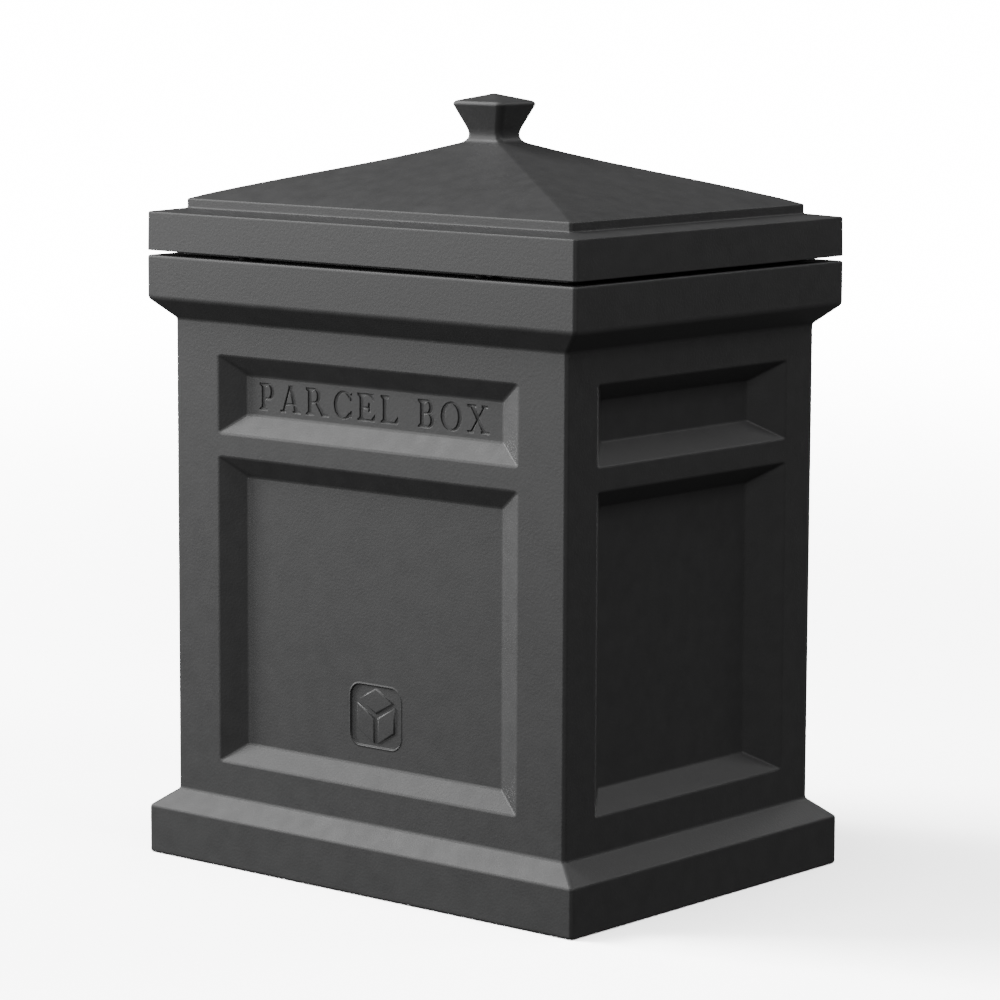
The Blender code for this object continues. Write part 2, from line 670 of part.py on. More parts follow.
def lid_shell():
    """Lid moulding: edge band, stepped pyramid roof and the flared knob."""
    edge_band = shrink(BODY_HALF, 0.5)
    step = shrink(BODY_HALF, STEP_INSET)
    lid = loft("lid_shell", [
        (LID_BOTTOM, shrink(BODY_HALF, EDGE), CORNER),
        (LID_BOTTOM + EDGE, BODY_HALF, CORNER),
        (LID_EDGE_TOP - 2.0, edge_band, CORNER),
        (LID_EDGE_TOP, shrink(edge_band, 2.0), CORNER),
        (LEDGE_TOP, step, 4.0),
        (STEP_TOP - 1.0, step, 4.0),
        (STEP_TOP, shrink(step, 1.0), 4.0),
        *[(z, roof_half(share), 4.0) for z, share in ROOF],
        *KNOB,
    ], SHELL_PLASTIC)
    ceiling = LID_EDGE_TOP - LID_WALL
    inside_step = shrink(step, LID_WALL)
    cut(lid, loft("lid_cavity", [
        (LID_BOTTOM - 2.0, shrink(BODY_HALF, LID_WALL), 4.0),
        (ceiling, shrink(BODY_HALF, LID_WALL + 0.5), 4.0),
        (LEDGE_TOP - LID_WALL, inside_step, 3.0),
        (STEP_TOP - LID_WALL, inside_step, 3.0),
        (700.0, (49.0, 35.8), 3.0),
        (706.0, (25.0, 18.5), 3.0),
        (713.0, (15.6, 13.0), 3.0),
        (722.0, (15.4, 12.4), 3.0),
        (742.0, (24.2, 19.8), 3.0),
        (748.0, (24.2, 19.8), 3.0),
    ], guide=True))

    boss_low = PAN_BOTTOM + PAN_WALL + GAP
    pilot_top = PAN_BOTTOM + LID_SCREW_LENGTH + 2.0
    join(lid, cylinders("lid_bosses", LID_SCREWS, 5.0, boss_low, LID_EDGE_TOP - 2.0))
    cut(lid, cylinders("lid_pilots", LID_SCREWS, PILOT, boss_low - 1, pilot_top))
    wall_y = BODY_HALF[1] - LID_WALL
    pads = []
    holes = []
    for side in (-1, 1):
        x = side * HINGE_X
        pads.append(((x - PAD_HALF, wall_y - 8, LID_PAD_Z[0]), (x + PAD_HALF, wall_y + 1, LID_PAD_Z[1])))
        holes += [(x + dx, LID_LEAF_SCREW_Z) for dx in LEAF_SCREW_X]
    join(lid, blocks("lid_hinge_pads", pads))
    cut(lid, cylinders("lid_hinge_pilots", holes, PILOT, wall_y - 7, BODY_HALF[1] + 1, "Y"))
    return lid


def lid_pan():
    """Inner lining of the lid, raised in the middle to clear the liner's upstand."""
    pan = loft("lid_pan", [
        (PAN_BOTTOM, PAN_HALF, 4.0),
        (PAN_BOTTOM + PAN_WALL, PAN_HALF, 4.0),
        (PAN_BOTTOM + PAN_WALL + 0.001, PAN_WALL_HALF, 7.0),
        (PAN_TOP, PAN_WALL_HALF, 7.0),
    ], LINER_PLASTIC)
    inside = shrink(PAN_WALL_HALF, PAN_WALL)
    hollow = [(PAN_BOTTOM - 1.0, inside, 4.0), (PAN_TOP - PAN_WALL, inside, 4.0)]
    cut(pan, loft("pan_hollow", hollow, guide=True))
    low = PAN_BOTTOM - 1.0
    high = PAN_BOTTOM + PAN_WALL + 1.0
    cut(pan, cylinders("pan_screw_holes", LID_SCREWS, CLEAR_HOLE, low, high))
    cut(pan, cylinders("pan_bumper_holes", BUMPERS, 2.8, low, high))
    return pan


def lid_fasteners():
    low = PAN_BOTTOM - GAP
    names = [f"lid_screw_{n + 1}" for n in range(len(LID_SCREWS))]
    screw_set(names, [(x, y, low) for x, y in LID_SCREWS], LID_SCREW_LENGTH, HEAD_DOWN)


def lid_bumpers():
    """Rubber buttons under the lid that stop it just above the cornice."""
    tall = PAN_BOTTOM - BODY_TOP - 2 * GAP
    stem_top = GAP + PAN_WALL
    profile = [
        (0, stem_top + 4.0), (1.6, stem_top + 4.0), (3.4, stem_top + GAP), (2.4, stem_top + GAP),
        (2.4, 0), (5, 0), (5, 1 - tall), (4, -tall), (0, -tall),
    ]
    corners = ("front_left", "front_right", "rear_left", "rear_right")
    mesh = None
    for corner, (x, y) in zip(corners, BUMPERS):
        made = turned(f"lid_bumper_{corner}", profile, MAT_RUBBER, (x, y, PAN_BOTTOM - GAP), mesh=mesh)
        mesh = made.data


# ---------------------------------------------------------------- hinges

def leaf_slab(start, end, z_from, z_to):
    """The two corners of a stretch of leaf, which lies just clear of the rear face."""
    rear = BODY_HALF[1] + GAP
    return (start, rear, min(z_from, z_to)), (end, rear + LEAF, max(z_from, z_to))


def hinge_leaf(name, x, z_near, z_far, screw_z, knuckles):
    """One leaf: plate, tongues and knuckles round the axis, the pin bore and two screw holes."""
    plate = leaf_slab(x - HINGE_HALF, x + HINGE_HALF, z_near, z_far)
    leaf = blocks(name, [plate], HINGE_STEEL, guide=False)
    for number, (start, end) in enumerate(knuckles):
        tongue = leaf_slab(x + start, x + end, z_near, HINGE_AXIS[1])
        join(leaf, blocks(f"{name}_tongue_{number}", [tongue]))
        barrel = cylinders(f"{name}_knuckle_{number}", [HINGE_AXIS], BARREL, x + start, x + end, "X", 20)
        join(leaf, barrel)
    bore = cylinders(f"{name}_bore", [HINGE_AXIS], PIN + GAP, x - 40, x + 40, "X", 16)
    holes = [(x + dx, screw_z) for dx in LEAF_SCREW_X]
    screws = cylinders(f"{name}_holes", holes, CLEAR_HOLE, BODY_HALF[1] - 2, BODY_HALF[1] + 8, "Y")
    cut(leaf, bore)
    cut(leaf, screws)
    return leaf


def stop_nib(name, x):
    """A nib on the lid's knuckle that meets the cabinet's leaf when the lid is fully open."""
    bm = bmesh.new()
    add_block(bm, (-5, BARREL - 1, -1), (5, BARREL + 3, 1))
    rest = radians(90 + NIB_ANGLE - LID_OPEN)
    turn = Matrix.Rotation(-rest, 4, "X")
    spot = Matrix.Translation((x, *HINGE_AXIS))
    bmesh.ops.transform(bm, matrix=spot @ turn, verts=bm.verts)
    return place(name, bm, None, guide=True)


def hinge(side, x):
    """A butt hinge: leaf on the cabinet, leaf on the lid, and the pin that joins them."""
    inner = LID_KNUCKLE_HALF
    outer = inner + GAP
    ends = ((-HINGE_HALF, -outer), (outer, HINGE_HALF))
    hinge_leaf(f"hinge_{side}_body_leaf", x, *BODY_LEAF_Z, BODY_LEAF_SCREW_Z, ends)
    lid_leaf = hinge_leaf(f"hinge_{side}_lid_leaf", x, *LID_LEAF_Z, LID_LEAF_SCREW_Z, ((-inner, inner),))
    nib = stop_nib(f"hinge_{side}_nib", x)
    join(lid_leaf, nib)

    end = HINGE_HALF + GAP
    profile = [
        (0, end + 1.2), (2.4, end + 1.2), (3.2, end + 0.6), (3.2, end), (PIN, end),
        (PIN, -end), (3.2, -end), (3.2, -end - 0.6), (2.4, -end - 1.2), (0, -end - 1.2),
    ]
    spot = (x, *HINGE_AXIS)
    turned(f"hinge_{side}_pin", profile, HINGE_STEEL, spot, (0.0, pi / 2, 0.0), segments=16)

    seat = BODY_HALF[1] + LEAF + 2 * GAP
    for piece, z in (("body", BODY_LEAF_SCREW_Z), ("lid", LID_LEAF_SCREW_Z)):
        names = [f"hinge_{side}_{piece}_screw_{n + 1}" for n in range(2)]
        spots = [(x + dx, seat, z) for dx in LEAF_SCREW_X]
        screw_set(names, spots, HINGE_SCREW_LENGTH[piece], HEAD_BACK)


body_shell()
bin_liner()
base_tray()
floor_mat()
anchor_plugs()
cabinet_screws()
lid_shell()
lid_pan()
lid_fasteners()
lid_bumpers()
hinge("left", -HINGE_X)
hinge("right", HINGE_X)
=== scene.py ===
"""Looks of the parcel drop box: fine mouldings, lettering, hardware and materials round the frame.

Lengths are in millimetres until place() turns them into metres. The lettered front faces -Y.
"""

from math import cos, pi, radians, sin, sqrt

import bmesh
import bpy
from mathutils import Matrix, Vector


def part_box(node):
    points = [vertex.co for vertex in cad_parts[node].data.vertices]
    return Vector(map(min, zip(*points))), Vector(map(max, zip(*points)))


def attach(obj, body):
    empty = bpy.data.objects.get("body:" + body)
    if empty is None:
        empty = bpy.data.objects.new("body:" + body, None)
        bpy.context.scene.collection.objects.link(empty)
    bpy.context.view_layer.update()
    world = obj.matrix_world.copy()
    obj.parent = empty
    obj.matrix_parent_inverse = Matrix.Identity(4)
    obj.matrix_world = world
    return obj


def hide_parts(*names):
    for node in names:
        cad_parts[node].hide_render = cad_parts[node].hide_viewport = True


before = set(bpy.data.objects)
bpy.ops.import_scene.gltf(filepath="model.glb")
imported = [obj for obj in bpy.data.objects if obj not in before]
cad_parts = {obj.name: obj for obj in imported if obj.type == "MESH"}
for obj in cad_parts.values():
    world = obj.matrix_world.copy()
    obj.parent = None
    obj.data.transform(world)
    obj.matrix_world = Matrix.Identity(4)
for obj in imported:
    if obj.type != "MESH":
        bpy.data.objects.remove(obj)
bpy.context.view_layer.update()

MM = 0.001
EASE_STEPS = 8          # faces round an eased corner


def extent(node):
    """Lowest and highest corner of a node, in millimetres."""
    low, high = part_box(node)
    return [value / MM for value in low], [value / MM for value in high]


SHELL_HIGH = extent("body_shell")[1]
LID_LOW, LID_HIGH = extent("lid_shell")

# Cabinet outline: half widths about the vertical axis and heights
PLINTH_HALF = (SHELL_HIGH[0], SHELL_HIGH[1])
BODY_HALF = (LID_HIGH[0], LID_HIGH[1])
COLUMN_HALF = (BODY_HALF[0] - 22.8, BODY_HALF[1] - 16.8)
PLINTH_TOP = 47.5
CHAMFER_TOP = 65.5
CORNICE_LOW = 536.2
CORNICE_FACE = 555.5
BODY_TOP = SHELL_HIGH[2]
WALL = 4.0
CORNER = 4.2            # radius of the upright corners
DECK_OPENING = (222.0, 174.0)

# Recessed panels
UPPER_PANEL_Z = (427.0, 503.7)
LOWER_PANEL_Z = (100.7, 404.3)
PANEL_BEVEL_Z = 19.0
FRONT_PANEL = {"half": 191.0, "bevel": 28.0, "depth": 12.5}
SIDE_PANEL = {"half": 145.0, "bevel": 32.5, "depth": 24.0}

# Lettering and badge
LETTERING = "PARCEL BOX"
CAP_HEIGHT = 25.6
LETTERING_WIDTH = 292.2
WORD_GAP = 25.0
BADGE_HALF = (32.0, 29.5)
BADGE_RADIUS = 12.0
BADGE_X = 4.5
BADGE_Z = 168.5
CARTON_REACH = 25.0
CARTON_SHIFT = 2.6      # moves each face of the carton off its middle

# Fastenings and drains, as plan positions
LINER_SCREWS = [(-232.0, -90.0), (232.0, -90.0), (-232.0, 90.0), (232.0, 90.0)]
LID_SCREWS = [
    (-263.3, -120.0), (263.3, -120.0), (-263.3, 120.0), (263.3, 120.0), (0.0, -197.8), (0.0, 197.8),
]
ANCHORS = [(-170.0, -125.0), (170.0, -125.0), (-170.0, 125.0), (170.0, 125.0)]
DRAINS = [(-100.0, -50.0), (100.0, -50.0), (-100.0, 50.0), (100.0, 50.0)]
BUMPERS = [(-150.0, -194.0), (150.0, -194.0), (-90.0, 194.0), (90.0, 194.0)]

# Liner, lid lining and mat
LINER_FLOOR_HALF = (214.0, 166.0)
LINER_TOP_HALF = (216.5, 168.5)
SHEET = 3.0             # thickness of the liner, the lid's lining and the mat's base
PAN_RIM = 13.3          # flat rim round the lining's raised middle
BEAD_DEPTH = 2.6
BEAD_HALF = 5.0
BEAD_REACH = (226.0, 162.0)     # half lengths of the beads along X and along Y
LONG_BEADS_Y = (-126.0, -42.0, 42.0, 126.0)
CROSS_BEADS_X = (-150.0, 0.0, 150.0)
MAT_RIB_PITCH = 15.0
MAT_RIB_HALF = (198.0, 2.0)
MAT_RIBS_EACH_WAY = 9

# Radii of holes
SCREW_HOLE = 2.2
ANCHOR_HOLE = 6.0
LINER_DRAIN = 4.0
MAT_DRAIN = 3.0
BUMPER_HOLE = 2.8
PLUG_CLEARANCE = 14.0

# Lid
LID_BOTTOM = LID_LOW[2]
LID_EDGE_TOP = 640.5
LEDGE_TOP = 644.0
STEP_TOP = 653.0
STEP_INSET = 27.6
ROOF = ((658.3, 0.93), (665.5, 0.82), (674.0, 0.68), (683.3, 0.52), (692.8, 0.36), (702.0, 0.22))
LID_WALL = 3.5

# Knob, from its neck over the rim; each is (z, half widths, corner radius, ease)
KNOB = (
    (712.9, (17.2, 14.2), 6.0, 14.5),
    (747.6, (33.0, 28.6), 7.5, 1.9),
    (750.6, (30.8, 26.5), 7.0, 1.7),
)
KNOB_PEAK = (1.5, 1.3)

# Hollow of the roof's peak and the knob; each is (z, half widths, corner radius)
KNOB_HOLLOW = (
    (700.0, (49.0, 35.8), 3.0),
    (706.0, (25.0, 18.5), 3.0),
    (713.0, (15.6, 13.0), 3.0),
    (722.0, (15.4, 12.4), 3.0),
    (742.0, (24.2, 19.8), 3.0),
    (747.0, (24.2, 19.8), 3.0),
)


# ---------------------------------------------------------------- mesh helpers

def place(name, bm):
    """Turn a bmesh in millimetres into an object in metres."""
    bmesh.ops.scale(bm, vec=(MM, MM, MM), verts=bm.verts)
    bmesh.ops.recalc_face_normals(bm, faces=bm.faces)
    mesh = bpy.data.meshes.new(name)
    bm.to_mesh(mesh)
    bm.free()
    made = bpy.data.objects.new(name, mesh)
    bpy.context.scene.collection.objects.link(made)
    return made


def settle(thing):
    """Apply an object's modifiers."""
    graph = bpy.context.evaluated_depsgraph_get()
    mesh = bpy.data.meshes.new_from_object(thing.evaluated_get(graph))
    thing.modifiers.clear()
    old = thing.data
    thing.data = mesh
    bpy.data.meshes.remove(old)
    mesh.name = thing.name


def boolean(target, tool, operation):
    step = target.modifiers.new("boolean", "BOOLEAN")
    step.operation = operation
    step.object = tool
    step.solver = "EXACT"
    settle(target)
    bpy.data.objects.remove(tool, do_unlink=True)


def cut(target, tool):
    boolean(target, tool, "DIFFERENCE")


def join(target, tool):
    boolean(target, tool, "UNION")


def soften(thing, width, angle):
    """Round every edge that turns by more than angle."""
    step = thing.modifiers.new("soften", "BEVEL")
    step.width = width * MM
    step.segments = 4
    step.limit_method = "ANGLE"
    step.angle_limit = radians(angle)
    step.miter_outer = "MITER_ARC"
    settle(thing)


def smooth(thing):
    """Smooth shading that leaves the broad flat faces flat."""
    thing.data.shade_smooth()
    step = thing.modifiers.new("flat_faces", "WEIGHTED_NORMAL")
    step.weight = 100
    step.keep_sharp = True


def rounded_rectangle(half, radius, steps=8):
    points = []
    for corner, (sx, sy) in enumerate(((1, 1), (-1, 1), (-1, -1), (1, -1))):
        for step in range(steps + 1):
            angle = (corner + step / steps) * pi / 2
            x = sx * (half[0] - radius) + radius * cos(angle)
            y = sy * (half[1] - radius) + radius * sin(angle)
            points.append((x, y))
    return points


def loft(name, levels, steps=8):
    """Skin a stack of rounded rectangles; each level is (z, half widths, corner radius)."""
    bm = bmesh.new()
    rings = []
    for z, half, radius in levels:
        rings.append([bm.verts.new((x, y, z)) for x, y in rounded_rectangle(half, radius, steps)])
    count = len(rings[0])
    for lower, upper in zip(rings, rings[1:]):
        for i in range(count):
            j = (i + 1) % count
            bm.faces.new((lower[i], lower[j], upper[j], upper[i]))
    bm.faces.new(list(reversed(rings[0])))
    bm.faces.new(rings[-1])
    return place(name, bm)


def shrink(half, by):
    return (half[0] - by, half[1] - by)


def eased(corners):
    """Loft levels with the corners rounded; each corner is (z, half widths, corner radius, ease)."""
    points = [Vector((z, half[0], half[1], radius)) for z, half, radius, ease in corners]
    levels = [points[0]]
    for before, point, after, corner in zip(points, points[1:], points[2:], corners[1:]):
        ease = corner[3]
        if not ease:
            levels.append(point)
            continue
        start = point + (before - point) * (ease / (before - point).xyz.length)
        end = point + (after - point) * (ease / (after - point).xyz.length)
        for step in range(EASE_STEPS + 1):
            t = step / EASE_STEPS
            levels.append(start * (1 - t) ** 2 + point * (2 * t * (1 - t)) + end * t ** 2)
    levels.append(points[-1])
    return [(level[0], (level[1], level[2]), level[3]) for level in levels]


def skin(bm, sections):
    """Add a closed solid through outlines that have the same number of points."""
    rings = [[bm.verts.new(point) for point in section] for section in sections]
    count = len(rings[0])
    for near, far in zip(rings, rings[1:]):
        for i in range(count):
            j = (i + 1) % count
            bm.faces.new((near[i], near[j], far[j], far[i]))
    bm.faces.new(list(reversed(rings[0])))
    bm.faces.new(rings[-1])


def solid(name, sections):
    bm = bmesh.new()
    skin(bm, sections)
    return place(name, bm)


# ---------------------------------------------------------------- recessed panels

def bevel_reach(half, bevel, depth, grow, at):
    """Half width of a recess at a depth, with its bevels moved outwards by grow."""
    slant_length = sqrt(bevel * bevel + depth * depth)
    return half + grow * slant_length / depth - bevel * at / depth


def add_recess(bm, side, panel, z_span, grow, start, end):
    centre_z = (z_span[0] + z_span[1]) / 2
    half_z = (z_span[1] - z_span[0]) / 2
    face = COLUMN_HALF[0] if side in ("left", "right") else COLUMN_HALF[1]
    for vert in bmesh.ops.create_cube(bm, size=2.0)["verts"]:
        across, inward, height = vert.co
        at = end if inward > 0 else start
        reach = across * bevel_reach(panel["half"], panel["bevel"], panel["depth"], grow, at)
        z = centre_z + height * bevel_reach(half_z, PANEL_BEVEL_Z, panel["depth"], grow, at)
        off = face - at
        if side == "front":
            vert.co = (reach, -off, z)
        elif side == "back":
            vert.co = (reach, off, z)
        elif side == "right":
            vert.co = (off, reach, z)
        else:
            vert.co = (-off, reach, z)


def panel_recesses(name, grow, start):
    bm = bmesh.new()
    for side in ("front", "back", "left", "right"):
        panel = FRONT_PANEL if side in ("front", "back") else SIDE_PANEL
        for z_span in (UPPER_PANEL_Z, LOWER_PANEL_Z):
            add_recess(bm, side, panel, z_span, grow, start, panel["depth"] + grow)
    return place(name, bm)


# ---------------------------------------------------------------- lettering and badge

STEM = 0.16             # thick stroke, as a share of the cap height
HAIR = 0.042            # thin stroke
SERIF = 0.105           # how far a serif stands out from its stroke
ARC_STEPS = 24
STROKE_STAGGER = 0.013  # keeps the floors of crossing strokes out of one plane

# Depth below the panel in millimetres, and how far the cut is wider there than at its floor
CARVING = ((1.15, 0.0), (0.8, 0.12), (0.42, 0.26), (0.15, 0.48), (0.0, 0.8), (-0.3, 1.0))


def polygon(*corners):
    """A straight-sided stroke, anticlockwise, that can be widened by moving its edges outwards."""
    def outline(grow):
        moved = []
        count = len(corners)
        for i in range(count):
            here = Vector(corners[i])
            back = (here - Vector(corners[i - 1])).normalized()
            on = (Vector(corners[(i + 1) % count]) - here).normalized()
            normal_back = Vector((back.y, -back.x))
            normal_on = Vector((on.y, -on.x))
            between = normal_back + normal_on
            moved.append(tuple(here + between * grow / max(0.9, 1.0 + normal_back.dot(normal_on))))
        return moved
    return outline


def bar(x0, y0, x1, y1):
    return polygon((x0, y0), (x1, y0), (x1, y1), (x0, y1))


def crescent(centre, radii, start, end):
    """A curved stroke, thick at its sides and thin at its top and bottom."""
    def outline(grow):
        extra = grow / radii[1]
        first = radians(start) - extra
        last = radians(end) + extra
        outer = (radii[0] + grow, radii[1] + grow)
        inner = (radii[0] - STEM - grow, radii[1] - HAIR - grow)
        points = []
        for i in range(ARC_STEPS + 1):
            angle = first + (last - first) * i / ARC_STEPS
            points.append((centre[0] + outer[0] * cos(angle), centre[1] + outer[1] * sin(angle)))
        for i in range(ARC_STEPS + 1):
            angle = last + (first - last) * i / ARC_STEPS
            points.append((centre[0] + inner[0] * cos(angle), centre[1] + inner[1] * sin(angle)))
        return points
    return outline


def stem(x):
    """An upright thick stroke with a bracketed serif at each end."""
    left = x - SERIF
    right = x + STEM + SERIF
    low = polygon((left, 0), (right, 0), (right, 0.04), (x + STEM, 0.12), (x, 0.12), (left, 0.04))
    high = polygon((left, 0.96), (x, 0.88), (x + STEM, 0.88), (right, 0.96), (right, 1), (left, 1))
    return [bar(x, 0, x + STEM, 1), low, high]


def bowl(x, low, high, reach):
    """The round part of a P, B or R, from a stem's right edge at x."""
    middle = (low + high) / 2
    flat = x + reach * 0.35
    curve = crescent((flat, middle), (reach * 0.65, (high - low) / 2), -90, 90)
    lower = bar(x - 0.02, low, flat + 0.005, low + HAIR)
    upper = bar(x - 0.02, high - HAIR, flat + 0.005, high)
    return [curve, lower, upper]


def arm(x, y, length, tip_low, tip_high):
    """A thin arm from a stem, ended by a tapered upright tip."""
    end = x + length
    middle = y + HAIR / 2
    lip = end + 0.03
    root = end - 0.15
    if tip_low < y and tip_high > y + HAIR:
        tip = bar(end - SERIF / 2, tip_low, end, tip_high)
    elif tip_high - middle > middle - tip_low:
        tip = polygon((root, y + HAIR), (end - SERIF, tip_low), (end, tip_low), (lip, tip_high))
    else:
        tip = polygon((lip, tip_low), (end, tip_high), (end - SERIF, tip_high), (root, y))
    return [bar(x - 0.02, y, end, y + HAIR), tip]


def slant(x_low, x_high, width):
    return polygon((x_low, 0), (x_low + width, 0), (x_high + width, 1), (x_high, 1))


def foot(x, width, y=0.0):
    return bar(x - SERIF, y, x + width + SERIF, y + 0.05)


def letter(name):
    """The strokes of one capital on a unit cap height, and its width."""
    x = SERIF
    edge = x + STEM
    if name == "P":
        return stem(x) + bowl(edge, 0.42, 1.0, 0.46), 0.78
    if name == "A":
        thin = slant(0.11, 0.46, HAIR * 1.2)
        thick = slant(0.75, 0.42, STEM * 1.1)
        crossbar = bar(0.22, 0.29, 0.78, 0.29 + HAIR)
        return [thin, thick, crossbar, foot(0.11, HAIR), foot(0.75, STEM)], 1.05
    if name == "R":
        leg = polygon((0.44, 0.50), (0.80, 0.0), (1.01, 0.0), (0.62, 0.50))
        return stem(x) + bowl(edge, 0.46, 1.0, 0.46) + [leg, bar(0.80, 0, 1.11, 0.05)], 1.12
    if name == "C":
        curve = crescent((0.50, 0.5), (0.48, 0.52), 38, 322)
        upper = polygon((0.84, 0.70), (0.91, 0.66), (0.92, 0.98), (0.80, 0.86))
        lower = polygon((0.80, 0.14), (0.90, 0.05), (0.90, 0.30), (0.84, 0.26))
        return [curve, upper, lower], 0.94
    if name == "E":
        arms = arm(edge, 1 - HAIR, 0.50, 0.74, 1.0) + arm(edge, 0.47, 0.32, 0.36, 0.66)
        return stem(x) + arms + arm(edge, 0.0, 0.56, 0.0, 0.28), 0.88
    if name == "L":
        return stem(x) + arm(edge, 0.0, 0.54, 0.0, 0.30), 0.86
    if name == "B":
        return stem(x) + bowl(edge, 0.50, 1.0, 0.44) + bowl(edge, 0.0, 0.50 + HAIR, 0.50), 0.82
    if name == "O":
        return [crescent((0.50, 0.5), (0.50, 0.52), *span) for span in ((89, 271), (-91, 91))], 1.0
    if name == "X":
        feet = [foot(0.12, HAIR), foot(0.76, STEM), foot(0.11, STEM, 0.95), foot(0.80, HAIR, 0.95)]
        return [slant(0.75, 0.11, STEM * 1.1), slant(0.12, 0.80, HAIR * 1.2)] + feet, 1.04
    return [], 0.0


def carve(target, outline, origin, scale, floor):
    """Add one stroke to a letter's cutter, for the panel whose surface is at y = floor."""
    sections = []
    for depth, grow in CARVING:
        y = floor + depth
        points = outline(grow / scale)
        sections.append([(origin[0] + x * scale, y, origin[1] + z * scale) for x, z in points])
    tool = solid("stroke", sections)
    if target is None:
        return tool
    join(target, tool)
    return target


def lettering(floor):
    """One cutter for each letter of the words."""
    widths = [letter(name)[1] * CAP_HEIGHT for name in LETTERING]
    gaps = sum(1 for a, b in zip(LETTERING, LETTERING[1:]) if " " not in (a, b))
    spacing = (LETTERING_WIDTH - WORD_GAP - sum(widths)) / gaps
    base_z = (UPPER_PANEL_Z[0] + UPPER_PANEL_Z[1] - CAP_HEIGHT) / 2
    cursor = -LETTERING_WIDTH / 2
    signs = []
    for index, name in enumerate(LETTERING):
        strokes, width = letter(name)
        sign = None
        for order, stroke in enumerate(strokes):
            sign = carve(sign, stroke, (cursor, base_z), CAP_HEIGHT, floor + order * STROKE_STAGGER)
        if sign is not None:
            signs.append(sign)
        if name == " ":
            cursor += WORD_GAP
        else:
            following = LETTERING[index + 1:index + 2]
            cursor += width * CAP_HEIGHT + (spacing if following not in (" ", "") else 0.0)
    return signs


def plate(name, outline, floor, profile):
    """A flat-topped shape on the front panel, from a profile of depths and widenings."""
    sections = []
    for depth, grow in profile:
        sections.append([(BADGE_X + x, floor + depth, BADGE_Z + z) for x, z in outline(grow)])
    return solid(name, sections)


def badge_outline(grow):
    return rounded_rectangle(shrink(BADGE_HALF, -grow), BADGE_RADIUS + grow)


def badge(target, floor):
    """A rounded square recess with a raised rim, and a raised carton pictogram inside it."""
    rim = ((-0.55, 0.6), (-0.45, 1.2), (-0.2, 1.8), (0.0, 2.6), (0.6, 2.8))
    join(target, plate("badge_rim", badge_outline, floor, reversed(rim)))
    hollow = ((1.4, -0.8), (1.2, -0.3), (0.5, 0.0), (-0.2, 0.3), (-0.5, 0.8), (-1.5, 1.0))
    recess = plate("badge_recess", badge_outline, floor, hollow)
    for turn in (90, 210, 330):
        centre = (CARTON_SHIFT * cos(radians(turn)), CARTON_SHIFT * sin(radians(turn)))
        corners = [centre]
        for offset in (-60, 0, 60):
            angle = radians(turn + offset)
            corners.append((centre[0] + CARTON_REACH * cos(angle), centre[1] + CARTON_REACH * sin(angle)))
        face = ((2.4, 0.6), (1.4, 0.5), (1.1, 0.2), (0.6, -0.3), (0.2, -1.0), (0.05, -1.7))
        cut(recess, plate("carton_face", polygon(*corners), floor, face))
    cut(target, recess)


# ---------------------------------------------------------------- mouldings

def cabinet_moulding():
    shell = loft("cabinet_moulding", eased([
        (0.0, shrink(PLINTH_HALF, 8.0), 4.0, 0.0),
        (0.0, PLINTH_HALF, CORNER, 3.0),
        (PLINTH_TOP, PLINTH_HALF, CORNER, 2.2),
        (CHAMFER_TOP, COLUMN_HALF, CORNER, 2.6),
        (CORNICE_LOW, COLUMN_HALF, CORNER, 2.4),
        (CORNICE_FACE, BODY_HALF, CORNER, 3.6),
        (BODY_TOP, BODY_HALF, CORNER, 2.8),
        (BODY_TOP, shrink(BODY_HALF, 8.0), 4.0, 0.0),
    ]))
    cut(shell, panel_recesses("panel_recesses", 0.0, -2.0))
    soften(shell, 1.7, 20.0)

    inner_column = shrink(COLUMN_HALF, WALL)
    cavity = loft("shell_cavity", [
        (-2.0, shrink(PLINTH_HALF, WALL), 3.0),
        (PLINTH_TOP - 2.0, shrink(PLINTH_HALF, WALL), 3.0),
        (CHAMFER_TOP - 2.0, inner_column, 2.0),
        (CORNICE_LOW + 1.74, inner_column, 2.0),
        (CORNICE_FACE + 1.74, shrink(BODY_HALF, WALL), 3.0),
        (BODY_TOP - WALL, shrink(BODY_HALF, WALL), 3.0),
    ])
    cut(cavity, panel_recesses("panel_backs", WALL, WALL - 1.0))
    cut(shell, cavity)
    mouth = [(BODY_TOP - WALL - 2.0, DECK_OPENING, 8.0), (BODY_TOP + 2.0, DECK_OPENING, 8.0)]
    cut(shell, loft("deck_mouth", mouth))

    floor = -(COLUMN_HALF[1] - FRONT_PANEL["depth"])
    for sign in lettering(floor):
        cut(shell, sign)
    badge(shell, floor)
    return shell


def lid_moulding():
    edge_band = shrink(BODY_HALF, 0.5)
    step = shrink(BODY_HALF, STEP_INSET)
    roof = [(z, (step[0] * share, step[1] * share), 3.5, 7.0) for z, share in ROOF]
    lid = loft("lid_moulding", eased([
        (LID_BOTTOM, shrink(BODY_HALF, 8.0), 4.0, 0.0),
        (LID_BOTTOM, BODY_HALF, CORNER, 1.2),
        (LID_EDGE_TOP, edge_band, CORNER, 1.9),
        (LEDGE_TOP, step, 4.0, 1.7),
        (STEP_TOP, step, 4.0, 1.6),
        *roof,
        *KNOB,
        (LID_HIGH[2], KNOB_PEAK, 1.0, 0.0),
    ]))
    ceiling = LID_EDGE_TOP - LID_WALL
    inside_step = shrink(step, LID_WALL)
    cut(lid, loft("lid_cavity", [
        (LID_BOTTOM - 2.0, shrink(BODY_HALF, LID_WALL), 4.0),
        (ceiling, shrink(BODY_HALF, LID_WALL + 0.5), 4.0),
        (LEDGE_TOP - LID_WALL, inside_step, 3.0),
        (STEP_TOP - LID_WALL, inside_step, 3.0),
        *KNOB_HOLLOW,
    ]))
    return lid


# ---------------------------------------------------------------- liner, lid pan and hardware

